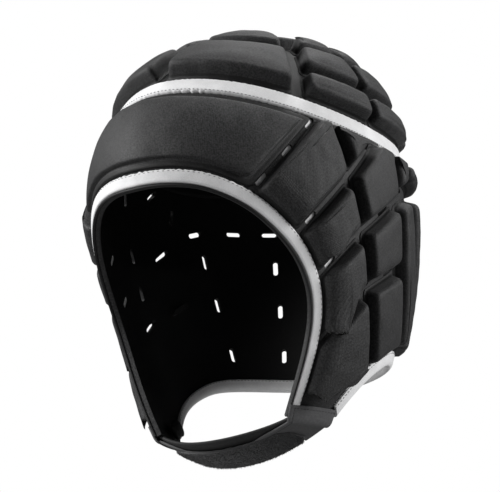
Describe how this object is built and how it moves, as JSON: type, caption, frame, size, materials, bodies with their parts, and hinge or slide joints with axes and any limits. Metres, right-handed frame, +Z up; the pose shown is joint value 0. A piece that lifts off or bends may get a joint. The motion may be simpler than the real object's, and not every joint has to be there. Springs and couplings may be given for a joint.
{
  "type": "rugby scrum cap",
  "caption": "Close-fitting padded scrum cap with raised foam pads parted by grooves, a crown seam tape, an open face, ear flaps with vent slots and a chin strap fastened by a pile patch.",
  "frame": {"origin": "inside of the crown's top, on the cap's middle plane, where the cap sits on a head", "axes": "+Z up, -Y forward out of the face opening, +X towards the wearer's left"},
  "size_m": [0.1754, 0.1998, 0.2433],
  "materials": {
    "cloth": "matte knitted cloth over foam",
    "webbing": "matte stretch cloth",
    "tape": "matte brushed tape",
    "pile": "matte looped pile"
  },
  "bodies": {
    "root": {"band_shell": "cloth", "crown_shell": "cloth", "crown_binding": "tape", "face_binding": "tape", "nape_binding": "tape", "forehead_pad": "cloth", "left_temple_pad": "cloth", "right_temple_pad": "cloth", "left_wedge_pad": "cloth", "right_wedge_pad": "cloth", "left_upper_pad": "cloth", "right_upper_pad": "cloth", "left_upper_rear_pad": "cloth", "right_upper_rear_pad": "cloth", "left_upper_nape_pad": "cloth", "right_upper_nape_pad": "cloth", "left_upper_back_pad": "cloth", "right_upper_back_pad": "cloth", "left_cheek_pad": "cloth", "right_cheek_pad": "cloth", "left_ear_pad": "cloth", "right_ear_pad": "cloth", "left_jaw_pad": "cloth", "right_jaw_pad": "cloth", "left_flap_pad": "cloth", "right_flap_pad": "cloth", "left_lower_pad": "cloth", "right_lower_pad": "cloth", "left_rear_pad": "cloth", "right_rear_pad": "cloth", "left_nape_pad": "cloth", "right_nape_pad": "cloth", "left_back_pad": "cloth", "right_back_pad": "cloth", "left_front_crown_pad_1": "cloth", "right_front_crown_pad_1": "cloth", "left_front_crown_pad_2": "cloth", "right_front_crown_pad_2": "cloth", "left_side_crown_pad_1": "cloth", "right_side_crown_pad_1": "cloth", "left_side_crown_pad_2": "cloth", "right_side_crown_pad_2": "cloth", "left_side_crown_pad_3": "cloth", "right_side_crown_pad_3": "cloth", "left_rear_side_crown_pad_1": "cloth", "right_rear_side_crown_pad_1": "cloth", "left_rear_side_crown_pad_2": "cloth", "right_rear_side_crown_pad_2": "cloth", "left_rear_side_crown_pad_3": "cloth", "right_rear_side_crown_pad_3": "cloth", "left_rear_crown_pad_1": "cloth", "right_rear_crown_pad_1": "cloth", "left_rear_crown_pad_2": "cloth", "right_rear_crown_pad_2": "cloth", "left_top_pad": "cloth", "right_top_pad": "cloth", "chin_strap": "webbing", "left_strap_tab": "cloth", "right_strap_tab": "cloth", "pile_patch": "pile"}
  },
  "joints": []
}
